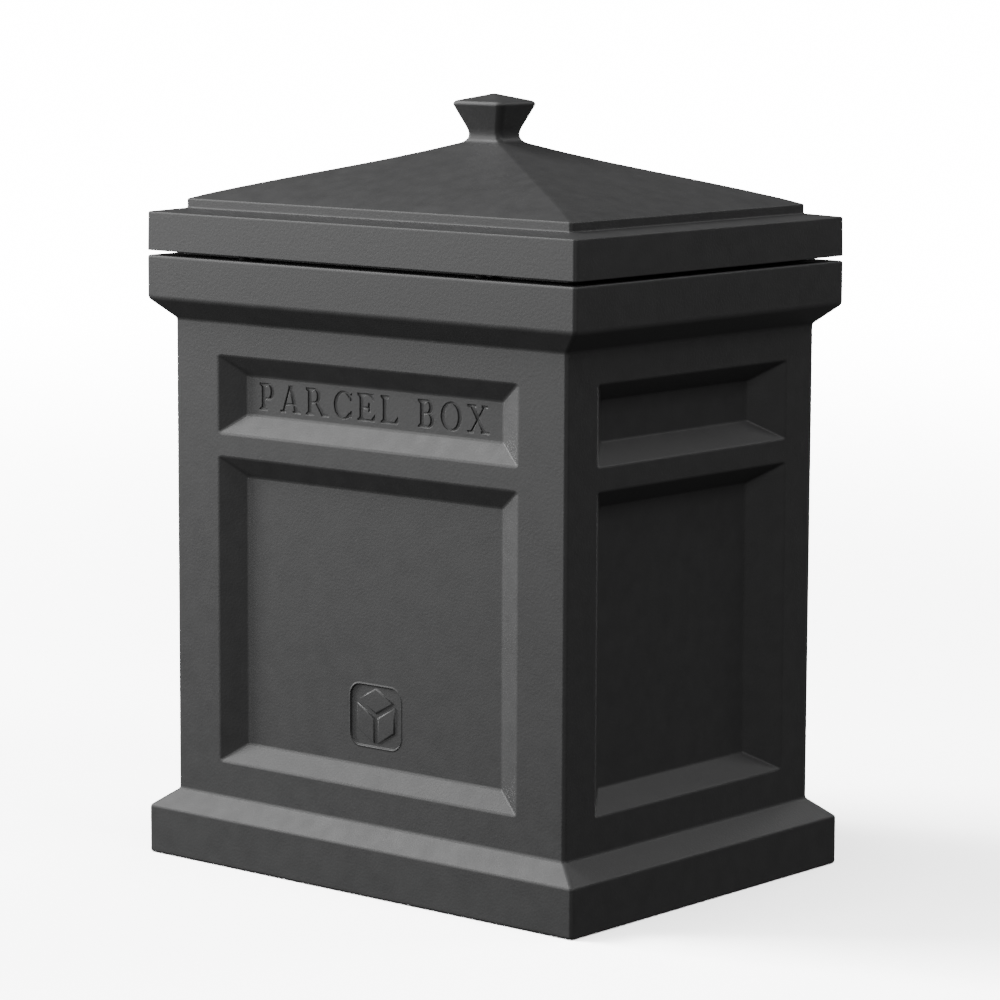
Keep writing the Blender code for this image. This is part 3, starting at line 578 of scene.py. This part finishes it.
HEAD_RISE = 2.2
THREAD_PITCH = 1.4
HINGE_AXIS = (211.1, 600.25)
HINGE_HALF = 32.0
BARREL = 4.5            # radius
PIN = 2.0               # radius
PIN_HEAD = 3.2          # radius
GAP = 0.3               # clearance between pieces
LID_KNUCKLE_HALF = 11.7
LID_OPEN = 100.0        # degrees
NIB_CLEARANCE = 6.5     # degrees
HINGE_X = 165.0
LEAF = 2.5              # thickness
TONGUE_OVERLAP = 3.0
LEAF_SCREWS_X = (-20.0, 20.0)
BODY_LEAF_Z = (595.0, 568.0, 581.5)
LID_LEAF_Z = (605.5, 634.0, 620.0)


def facing(direction, spot):
    """Turns a point given about an upright axis to face another way, and moves it to its place."""
    def moved(x, y, z):
        if direction == "down":
            x, y, z = x, -y, -z
        if direction == "back":
            x, y, z = x, z, -y
        if direction == "side":
            x, y, z = z, x, y
        return (spot[0] + x, spot[1] + y, spot[2] + z)
    return moved


def turned(name, corners, direction, spot, segments=40):
    """A round solid with eased corners; each corner is (height, radius, ease)."""
    moved = facing(direction, spot)
    ring = [2 * pi * i / segments for i in range(segments)]
    sections = []
    for height, half, _ in eased([(z, (r, r), r, ease) for z, r, ease in corners]):
        sections.append([moved(half[0] * cos(a), half[0] * sin(a), height) for a in ring])
    return solid(name, sections)


def cross_recess(direction, spot):
    """A tapered cross that leaves a driver recess in a screw head."""
    moved = facing(direction, spot)
    outline = []
    for turn in range(4):
        angle = turn * pi / 2
        for x, y in ((0.42, 0.42), (0.42, 2.3), (-0.42, 2.3)):
            outline.append((x * cos(angle) - y * sin(angle), x * sin(angle) + y * cos(angle)))
    sections = []
    for height, share in ((HEAD_RISE + 0.3, 1.05), (HEAD_RISE - 0.5, 0.85), (HEAD_RISE - 1.5, 0.3)):
        sections.append([moved(x * share, y * share, height) for x, y in outline])
    return solid("cross_recess", sections)


def screw(name, direction, spot, length):
    """A pan head screw with a cross recess and rings of thread down to its point."""
    corners = [
        (HEAD_RISE, 0.2, 0.0), (HEAD_RISE - 0.1, 2.6, 0.3), (0.9, 4.0, 0.35),
        (0.0, 4.0, 0.12), (0.0, 1.55, 0.1),
    ]
    depth = -1.2
    while depth > 3.0 - length:
        corners += [(depth, 1.25, 0.0), (depth - 0.5, 1.68, 0.0), (depth - 1.0, 1.25, 0.0)]
        depth -= THREAD_PITCH
    corners.append((-length, 0.1, 0.0))
    made = turned(name, corners, direction, spot, 20)
    cut(made, cross_recess(direction, spot))
    return made


def screw_for(node):
    """A detailed screw in the place of a node, with its head on the outside."""
    low, high = extent(node)
    x, y, z = [(a + b) / 2 for a, b in zip(low, high)]
    name = node + "_detail"
    if node.startswith("hinge"):
        return screw(name, "back", (x, high[1] - HEAD_RISE, z), high[1] - low[1] - HEAD_RISE)
    length = high[2] - low[2] - HEAD_RISE
    if node.startswith("liner"):
        return screw(name, "up", (x, y, high[2] - HEAD_RISE), length)
    return screw(name, "down", (x, y, low[2] + HEAD_RISE), length)


def drill(target, name, spots, radius, low, high):
    for x, y in spots:
        cut(target, turned(name, [(low, radius, 0.0), (high, radius, 0.0)], "up", (x, y, 0.0), 24))


def liner_moulding():
    """The inner bin with rounded corners, its flange on the deck and the rain upstand."""
    low, high = extent("bin_liner")
    half = (high[0], high[1])
    flange = BODY_TOP + GAP
    liner = loft("liner_moulding", eased([
        (low[2], shrink(LINER_FLOOR_HALF, 8.0), 10.0, 0.0),
        (low[2], LINER_FLOOR_HALF, 14.0, 5.0),
        (flange, LINER_TOP_HALF, 9.0, 0.0),
        (flange + 0.02, shrink(half, 0.5), 6.0, 0.0),
        (flange + 0.5, half, 6.0, 0.2),
        (high[2], half, 6.0, 1.1),
        (high[2], shrink(half, 1.5), 5.0, 0.3),
        (high[2] - 0.02, shrink(half, 1.6), 5.0, 0.0),
    ]))
    cut(liner, loft("liner_inside", eased([
        (low[2] + SHEET, shrink(LINER_FLOOR_HALF, SHEET + 11.0), 8.0, 0.0),
        (low[2] + SHEET, shrink(LINER_FLOOR_HALF, SHEET), 11.0, 6.0),
        (flange + SHEET, shrink(LINER_TOP_HALF, SHEET), 6.5, 3.0),
        (flange + SHEET, shrink(half, SHEET), 3.5, 1.5),
        (high[2], shrink(half, SHEET), 3.5, 1.0),
        (high[2] + 1.0, shrink(half, 1.5), 4.5, 0.2),
        (high[2] + 3.0, shrink(half, 1.4), 4.5, 0.0),
    ])))
    drill(liner, "screw_hole", LINER_SCREWS, SCREW_HOLE, flange - 1.0, flange + 4.0)
    drill(liner, "anchor_hole", ANCHORS, ANCHOR_HOLE, low[2] - 1.0, low[2] + 4.0)
    drill(liner, "drain_hole", DRAINS, LINER_DRAIN, low[2] - 1.0, low[2] + 4.0)
    return liner


def bars(name, spans, levels):
    """Round-ended bars; each span is (low x, high x, low y, high y), each level (z, inset, ease)."""
    bm = bmesh.new()
    for x0, x1, y0, y1 in spans:
        half = ((x1 - x0) / 2, (y1 - y0) / 2)
        radius = min(half) * 0.98
        corners = []
        for z, inset, ease in levels:
            corners.append((z, shrink(half, inset), max(radius - inset, 0.05), ease))
        sections = []
        for z, size, corner in eased(corners):
            outline = rounded_rectangle(size, corner, 4)
            sections.append([((x0 + x1) / 2 + x, (y0 + y1) / 2 + y, z) for x, y in outline])
        skin(bm, sections)
    return place(name, bm)


def pan_moulding():
    """The lid's lining, with a grid of shallow stiffening beads under its raised middle."""
    low, high = extent("lid_pan")
    half = (high[0], high[1])
    middle = shrink(half, PAN_RIM)
    ceiling = high[2] - SHEET
    pan = loft("pan_moulding", eased([
        (low[2], shrink(half, 1.5), 3.0, 0.0),
        (low[2], half, 4.0, 0.8),
        (low[2] + SHEET, half, 4.0, 0.8),
        (low[2] + SHEET, middle, 7.0, 1.0),
        (high[2], middle, 7.0, 4.0),
        (high[2], shrink(middle, 8.0), 4.0, 0.0),
    ]))
    inside = shrink(middle, SHEET)
    cut(pan, loft("pan_hollow", eased([
        (low[2] - 1.0, shrink(inside, -2.0), 5.0, 0.0),
        (low[2], shrink(inside, -1.5), 5.0, 0.5),
        (low[2] + 1.5, inside, 4.5, 1.2),
        (ceiling, inside, 4.5, 3.5),
        (ceiling, shrink(inside, 8.0), 2.0, 0.0),
    ])))
    crest = ceiling - BEAD_DEPTH
    beads = ((crest, 2.4, 0.0), (crest, 0.0, 2.0), (ceiling + 1.0, 0.0, 0.0))
    reach_x, reach_y = BEAD_REACH
    along = [(-reach_x, reach_x, y - BEAD_HALF, y + BEAD_HALF) for y in LONG_BEADS_Y]
    across = [(x - BEAD_HALF, x + BEAD_HALF, -reach_y, reach_y) for x in CROSS_BEADS_X]
    join(pan, bars("long_beads", along, beads))
    join(pan, bars("cross_beads", across, beads))
    drill(pan, "screw_hole", LID_SCREWS, SCREW_HOLE, low[2] - 1.0, low[2] + 4.0)
    drill(pan, "bumper_hole", BUMPERS, BUMPER_HOLE, low[2] - 1.0, low[2] + 4.0)
    return pan


def mat_moulding():
    """The ribbed mat, its ribs rounded along their tops."""
    low, high = extent("floor_mat")
    half = (high[0], high[1])
    mat = loft("mat_moulding", eased([
        (low[2], shrink(half, 1.0), 5.0, 0.0),
        (low[2], half, 6.0, 0.4),
        (low[2] + SHEET, half, 6.0, 1.0),
        (low[2] + SHEET, shrink(half, 2.0), 5.0, 0.0),
    ]))
    half_length, half_width = MAT_RIB_HALF
    rows = [MAT_RIB_PITCH * n for n in range(-MAT_RIBS_EACH_WAY, MAT_RIBS_EACH_WAY + 1)]
    ribs = [(-half_length, half_length, y - half_width, y + half_width) for y in rows]
    rounded_top = ((low[2] + 2.5, 0.0, 0.0), (high[2], 0.3, 1.2), (high[2], 1.6, 0.0))
    join(mat, bars("mat_ribs", ribs, rounded_top))
    drill(mat, "plug_hole", ANCHORS, PLUG_CLEARANCE, low[2] - 1.0, high[2] + 1.0)
    drill(mat, "drain_hole", DRAINS, MAT_DRAIN, low[2] - 1.0, high[2] + 1.0)
    return mat


def slab(name, low, high, radius, ease):
    """An upright plate with rounded corners; its edges are eased on the side away from the box."""
    half = ((high[0] - low[0]) / 2, (high[2] - low[2]) / 2)
    middle = ((high[0] + low[0]) / 2, (high[2] + low[2]) / 2)
    levels = eased([
        (low[1], half, radius, 0.0),
        (high[1], half, radius, ease),
        (high[1], shrink(half, 2 * ease), radius, 0.0),
    ])
    sections = []
    for y, size, corner in levels:
        sections.append([(middle[0] + x, y, middle[1] + z) for x, z in rounded_rectangle(size, corner)])
    return solid(name, sections)


def barrel(name, start, end, radius):
    """A knuckle, or its bore, along the hinge axis."""
    near = [(start, radius - 1.0, 0.0), (start, radius, 0.4)]
    far = [(end, radius, 0.4), (end, radius - 1.0, 0.0)]
    return turned(name, near + far, "side", (0.0, *HINGE_AXIS))


def stop_nib(x):
    """The nib on the lid's knuckle that meets the cabinet's leaf when the lid is fully open."""
    sections = []
    for dx, shrunk in ((-5.0, 0.5), (-4.5, 0.0), (4.5, 0.0), (5.0, 0.5)):
        outline = rounded_rectangle((2.0 - shrunk, 1.0 - shrunk), 0.4)
        sections.append([(x + dx, BARREL + 1.0 + y, z) for y, z in outline])
    turn = Matrix.Rotation(-radians(90 + NIB_CLEARANCE - LID_OPEN), 4, "X")
    bm = bmesh.new()
    skin(bm, [[tuple(turn @ Vector(point)) for point in section] for section in sections])
    bmesh.ops.translate(bm, vec=(0.0, *HINGE_AXIS), verts=bm.verts)
    return place("stop_nib", bm)


def hinge_leaf(node, x, heights, knuckles):
    """One leaf with its knuckles. The heights are its edge by the barrels, its far edge and its screws."""
    near, far, screw_z = heights
    rear = BODY_HALF[1] + GAP
    face = rear + LEAF
    lowest, highest = sorted((near, far))
    plate_low = (x - HINGE_HALF, rear, lowest)
    plate_high = (x + HINGE_HALF, face, highest)
    leaf = slab(node + "_detail", plate_low, plate_high, 3.0, 0.5)
    root = near + TONGUE_OVERLAP if far > near else near - TONGUE_OVERLAP
    low, high = sorted((root, HINGE_AXIS[1]))
    for start, end in knuckles:
        tongue_low = (x + start, rear + 0.01, low)
        tongue_high = (x + end, face - 0.01, high)
        join(leaf, slab("tongue", tongue_low, tongue_high, 0.3, 0.2))
        join(leaf, barrel("knuckle", x + start, x + end, BARREL))
    bore_reach = HINGE_HALF + 8.0
    cut(leaf, barrel("bore", x - bore_reach, x + bore_reach, PIN + GAP))
    hole = [(-8.0, SCREW_HOLE, 0.0), (8.0, SCREW_HOLE, 0.0)]
    for dx in LEAF_SCREWS_X:
        cut(leaf, turned("screw_hole", hole, "back", (x + dx, face, screw_z), 24))
    return leaf


def hinge_pin(node, x):
    end = HINGE_HALF + GAP
    half = [(end, PIN, 0.1), (end, PIN_HEAD, 0.15), (end + 0.6, PIN_HEAD, 0.25), (end + 1.2, 2.4, 0.3)]
    other = [(-z, radius, ease) for z, radius, ease in reversed(half)]
    corners = [(-end - 1.2, 0.5, 0.0), *other, *half, (end + 1.2, 0.5, 0.0)]
    return turned(node + "_detail", corners, "side", (x, *HINGE_AXIS))


def standing(node, corners):
    """A round rubber piece in the place of a node, built up from the node's lowest point."""
    low, high = extent(node)
    spot = ((low[0] + high[0]) / 2, (low[1] + high[1]) / 2, low[2])
    return turned(node + "_detail", corners, "up", spot)


def bumper(node):
    """A round-edged button with a stalk and a barb that hold it in the lid's lining."""
    foot_top = 7.4
    barb = foot_top + 3.6
    tip = foot_top + 7.3
    return standing(node, [
        (0.0, 2.0, 0.0), (0.0, 5.0, 1.6), (foot_top, 5.0, 0.5), (foot_top, 2.4, 0.1),
        (barb, 2.4, 0.1), (barb, 3.4, 0.1), (tip, 1.6, 0.3), (tip, 0.3, 0.0),
    ])


def anchor_plug(node):
    """A plug with a dished top for a fingertip."""
    head = 12.0
    top = 14.5
    dish = 13.4
    return standing(node, [
        (0.0, 0.5, 0.0), (0.0, 4.5, 0.6), (1.0, 5.5, 0.5), (head, 5.5, 0.3), (head, 11.0, 0.4),
        (13.2, 11.0, 0.6), (top, 9.6, 0.8), (top, 7.0, 1.0), (dish, 4.0, 1.5), (dish, 0.3, 0.0),
    ])


# ---------------------------------------------------------------- materials

# Noise scales, in waves to the metre
WAVE_SCALE = 7.0
MOTTLE_SCALE = 60.0
CLOUD_SCALE = 250.0
GRAIN_SCALE = 420.0
PEEL_SCALE = 700.0


def shader_tree(name, colour, roughness, metallic=0.0, specular=0.5):
    made = bpy.data.materials.new(name)
    made.use_nodes = True
    shader = made.node_tree.nodes["Principled BSDF"]
    shader.inputs["Base Color"].default_value = (*colour, 1.0)
    shader.inputs["Roughness"].default_value = roughness
    shader.inputs["Metallic"].default_value = metallic
    shader.inputs["Specular IOR Level"].default_value = specular
    return made, shader


def noise(tree, scale, detail):
    """Noise fixed to the piece's own coordinates."""
    coordinates = tree.nodes.new("ShaderNodeTexCoord").outputs["Object"]
    made = tree.nodes.new("ShaderNodeTexNoise")
    made.inputs["Scale"].default_value = scale
    made.inputs["Detail"].default_value = detail
    tree.links.new(coordinates, made.inputs["Vector"])
    return made.outputs["Fac"]


def ranged(tree, value, low, high):
    made = tree.nodes.new("ShaderNodeMapRange")
    made.inputs["From Min"].default_value = 0.3
    made.inputs["From Max"].default_value = 0.7
    made.inputs["To Min"].default_value = low
    made.inputs["To Max"].default_value = high
    tree.links.new(value, made.inputs["Value"])
    return made.outputs["Result"]


def mixed(tree, factor, first, second):
    made = tree.nodes.new("ShaderNodeMix")
    made.data_type = "RGBA"
    made.inputs["A"].default_value = (*first, 1.0)
    made.inputs["B"].default_value = (*second, 1.0)
    tree.links.new(factor, made.inputs["Factor"])
    return made.outputs["Result"]


def bump(tree, height, distance, strength, below=None):
    made = tree.nodes.new("ShaderNodeBump")
    made.inputs["Distance"].default_value = distance
    made.inputs["Strength"].default_value = strength
    tree.links.new(height, made.inputs["Height"])
    if below is not None:
        tree.links.new(below, made.inputs["Normal"])
    return made.outputs["Normal"]


def moulded(name, dark, light, rough_low, rough_high, specular=0.5):
    """Moulded plastic: fine grain, slow mottling of tone and gloss, and a faint waviness."""
    made, shader = shader_tree(name, dark, rough_low, specular=specular)
    tree = made.node_tree
    mottle = noise(tree, MOTTLE_SCALE, 5.0)
    grain = noise(tree, GRAIN_SCALE, 4.0)
    wave = noise(tree, WAVE_SCALE, 1.0)
    tone = mixed(tree, ranged(tree, mottle, 0.0, 1.0), dark, light)
    tree.links.new(tone, shader.inputs["Base Color"])
    tree.links.new(ranged(tree, mottle, rough_low, rough_high), shader.inputs["Roughness"])
    slow = bump(tree, wave, 0.0006, 0.15)
    tree.links.new(bump(tree, grain, 0.0004, 0.38, slow), shader.inputs["Normal"])
    return made


def coated_steel(name, colour, roughness):
    made, shader = shader_tree(name, colour, roughness)
    tree = made.node_tree
    peel = noise(tree, PEEL_SCALE, 2.0)
    gloss = ranged(tree, noise(tree, MOTTLE_SCALE, 3.0), roughness - 0.08, roughness + 0.08)
    tree.links.new(gloss, shader.inputs["Roughness"])
    tree.links.new(bump(tree, peel, 0.0001, 0.3), shader.inputs["Normal"])
    return made


def bare_steel(name):
    made, shader = shader_tree(name, (0.45, 0.45, 0.46), 0.3, metallic=1.0)
    tree = made.node_tree
    cloud = noise(tree, CLOUD_SCALE, 4.0)
    tone = mixed(tree, ranged(tree, cloud, 0.0, 1.0), (0.36, 0.36, 0.37), (0.55, 0.55, 0.54))
    tree.links.new(tone, shader.inputs["Base Color"])
    tree.links.new(ranged(tree, cloud, 0.24, 0.42), shader.inputs["Roughness"])
    return made


RESIN = moulded("charcoal_resin", (0.040, 0.040, 0.0405), (0.046, 0.046, 0.0465), 0.48, 0.54)
LINER = moulded("liner_resin", (0.022, 0.022, 0.023), (0.030, 0.030, 0.031), 0.50, 0.60)
BASE = moulded("base_resin", (0.020, 0.020, 0.021), (0.028, 0.028, 0.028), 0.55, 0.68)
RUBBER = moulded("black_rubber", (0.014, 0.014, 0.014), (0.020, 0.020, 0.020), 0.75, 0.90, 0.3)
COATED = coated_steel("coated_steel", (0.028, 0.028, 0.030), 0.42)
STEEL = bare_steel("zinc_steel")

FINISHES = {
    "shell_plastic": RESIN, "liner_plastic": LINER, "base_plastic": BASE,
    "mat_rubber": RUBBER, "hinge_steel": COATED, "screw_steel": STEEL,
}
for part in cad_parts.values():
    part.material_slots[0].material = FINISHES[part.material_slots[0].material.name]


def add_piece(thing, node, slot):
    """Give a piece its finish and let it stand for a CAD node on the same body."""
    thing.data.materials.clear()
    thing.data.materials.append(FINISHES[slot])
    smooth(thing)
    on_lid = node.startswith("lid_") or "_lid_" in node
    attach(thing, "lid" if on_lid else "cabinet")
    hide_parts(node)


add_piece(cabinet_moulding(), "body_shell", "shell_plastic")
add_piece(lid_moulding(), "lid_shell", "shell_plastic")
add_piece(liner_moulding(), "bin_liner", "liner_plastic")
add_piece(pan_moulding(), "lid_pan", "liner_plastic")
add_piece(mat_moulding(), "floor_mat", "mat_rubber")
for side, x in (("left", -HINGE_X), ("right", HINGE_X)):
    body_leaf = f"hinge_{side}_body_leaf"
    lid_leaf = f"hinge_{side}_lid_leaf"
    inner = LID_KNUCKLE_HALF
    outer = inner + GAP
    ends = ((-HINGE_HALF, -outer), (outer, HINGE_HALF))
    add_piece(hinge_leaf(body_leaf, x, BODY_LEAF_Z, ends), body_leaf, "hinge_steel")
    leaf = hinge_leaf(lid_leaf, x, LID_LEAF_Z, ((-inner, inner),))
    join(leaf, stop_nib(x))
    add_piece(leaf, lid_leaf, "hinge_steel")
    pin = f"hinge_{side}_pin"
    add_piece(hinge_pin(pin, x), pin, "hinge_steel")
for node in sorted(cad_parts):
    if "_screw_" in node:
        add_piece(screw_for(node), node, "screw_steel")
    if node.startswith("lid_bumper"):
        add_piece(bumper(node), node, "mat_rubber")
    if node.startswith("anchor_plug"):
        add_piece(anchor_plug(node), node, "mat_rubber")


# ---------------------------------------------------------------- floor, light and camera

# Metres and degrees
FLOOR_REACH = 6.0
FLOOR_DROP = 0.0005
FLOOR_WHITE = 6.0
BACKDROP_WHITE = 16.0
ROOM_LIGHT = 0.08
SOFTBOX_DISTANCE = 7.0
SOFTBOX_AIM = 0.38
CAMERA_AZIMUTH = 40.27
CAMERA_PITCH = 8.03
CAMERA_ROLL = 0.25
CAMERA_LENS = 142.5     # millimetres
CAMERA_DISTANCE = 3.8895
CAMERA_AIM = 0.405
CAMERA_RIGHT = 0.0072
CAMERA_DOWN = 0.0455

# Name, azimuth, elevation, size and power. Azimuth 0 is in front, positive to +X.
SOFTBOXES = (
    ("key", -60.0, 42.0, 2.4, 325.0),
    ("key_high", -60.0, 60.0, 2.4, 120.0),
    ("key_low", -73.0, 10.0, 1.0, 315.0),
    ("front", -31.0, 10.0, 2.4, 165.0),
    ("right_high", 90.0, 45.0, 2.4, 120.0),
    ("right_low", 50.0, 10.0, 2.4, 50.0),
    ("rear", 150.0, 45.0, 2.4, 70.0),
    ("rear_low", -176.0, 6.0, 2.4, 170.0),
    ("top", 0.0, 80.0, 2.4, 90.0),
)


def studio_floor():
    """A pale floor that fades into the white background away from the box. It lights nothing."""
    bpy.ops.mesh.primitive_plane_add(size=2.0 * FLOOR_REACH, location=(0.0, 0.0, -FLOOR_DROP))
    floor = bpy.context.object
    floor.name = "floor"
    made = bpy.data.materials.new("pale_floor")
    made.use_nodes = True
    tree = made.node_tree
    tree.nodes.clear()
    paint = tree.nodes.new("ShaderNodeBsdfDiffuse")
    paint.inputs["Color"].default_value = (FLOOR_WHITE, FLOOR_WHITE, FLOOR_WHITE, 1.0)
    clear = tree.nodes.new("ShaderNodeBsdfTransparent")
    spread = tree.nodes.new("ShaderNodeMapping")
    spread.inputs["Scale"].default_value = (1.0 / FLOOR_REACH, 1.0 / FLOOR_REACH, 1.0)
    tree.links.new(tree.nodes.new("ShaderNodeTexCoord").outputs["Object"], spread.inputs["Vector"])
    falloff = tree.nodes.new("ShaderNodeTexGradient")
    falloff.gradient_type = "SPHERICAL"
    tree.links.new(spread.outputs["Vector"], falloff.inputs["Vector"])
    share = tree.nodes.new("ShaderNodeMapRange")
    share.interpolation_type = "SMOOTHSTEP"
    share.inputs["From Min"].default_value = 0.0
    share.inputs["From Max"].default_value = 0.8
    tree.links.new(falloff.outputs["Fac"], share.inputs["Value"])
    blend = tree.nodes.new("ShaderNodeMixShader")
    tree.links.new(share.outputs["Result"], blend.inputs[0])
    tree.links.new(clear.outputs["BSDF"], blend.inputs[1])
    tree.links.new(paint.outputs["BSDF"], blend.inputs[2])
    surface = tree.nodes.new("ShaderNodeOutputMaterial")
    tree.links.new(blend.outputs["Shader"], surface.inputs["Surface"])
    floor.data.materials.append(made)
    floor.visible_diffuse = False
    floor.visible_glossy = False


def softbox(name, azimuth, elevation, size, power):
    """A square soft light aimed at the middle of the box."""
    target = Vector((0.0, 0.0, SOFTBOX_AIM))
    a = radians(azimuth)
    e = radians(elevation)
    away = Vector((sin(a) * cos(e), -cos(a) * cos(e), sin(e)))
    data = bpy.data.lights.new(name, "AREA")
    data.shape = "SQUARE"
    data.size = size
    data.energy = power
    lamp = bpy.data.objects.new(name, data)
    lamp.location = target + away * SOFTBOX_DISTANCE
    lamp.rotation_euler = (-away).to_track_quat("-Z", "Y").to_euler()
    bpy.context.scene.collection.objects.link(lamp)


def backdrop():
    """A dim even light all round, seen by the camera as plain white."""
    world = bpy.data.worlds.new("studio")
    world.use_nodes = True
    tree = world.node_tree
    dim = tree.nodes["Background"]
    dim.inputs["Color"].default_value = (1.0, 1.0, 1.0, 1.0)
    dim.inputs["Strength"].default_value = ROOM_LIGHT
    white = tree.nodes.new("ShaderNodeBackground")
    white.inputs["Color"].default_value = (1.0, 1.0, 1.0, 1.0)
    white.inputs["Strength"].default_value = BACKDROP_WHITE
    path = tree.nodes.new("ShaderNodeLightPath")
    blend = tree.nodes.new("ShaderNodeMixShader")
    tree.links.new(path.outputs["Is Camera Ray"], blend.inputs[0])
    tree.links.new(dim.outputs["Background"], blend.inputs[1])
    tree.links.new(white.outputs["Background"], blend.inputs[2])
    tree.links.new(blend.outputs["Shader"], tree.nodes["World Output"].inputs["Surface"])
    bpy.context.scene.world = world


def camera():
    azimuth = radians(CAMERA_AZIMUTH)
    pitch = radians(CAMERA_PITCH)
    roll = radians(CAMERA_ROLL)
    forward = Vector((-sin(azimuth) * cos(pitch), cos(azimuth) * cos(pitch), -sin(pitch)))
    right = Vector((cos(azimuth), sin(azimuth), 0.0))
    up = right.cross(forward)
    data = bpy.data.cameras.new("camera")
    data.lens = CAMERA_LENS
    data.sensor_width = 36.0
    data.clip_end = 200.0
    made = bpy.data.objects.new("camera", data)
    tilted_right = right * cos(roll) + up * sin(roll)
    tilted_up = up * cos(roll) - right * sin(roll)
    spot = Vector((0.0, 0.0, CAMERA_AIM)) - forward * CAMERA_DISTANCE
    spot += right * CAMERA_RIGHT - up * CAMERA_DOWN
    columns = Matrix((tilted_right, tilted_up, -forward)).transposed().to_4x4()
    made.matrix_world = Matrix.Translation(spot) @ columns
    bpy.context.scene.collection.objects.link(made)
    bpy.context.scene.camera = made


studio_floor()
backdrop()
for lamp in SOFTBOXES:
    softbox(*lamp)
camera()
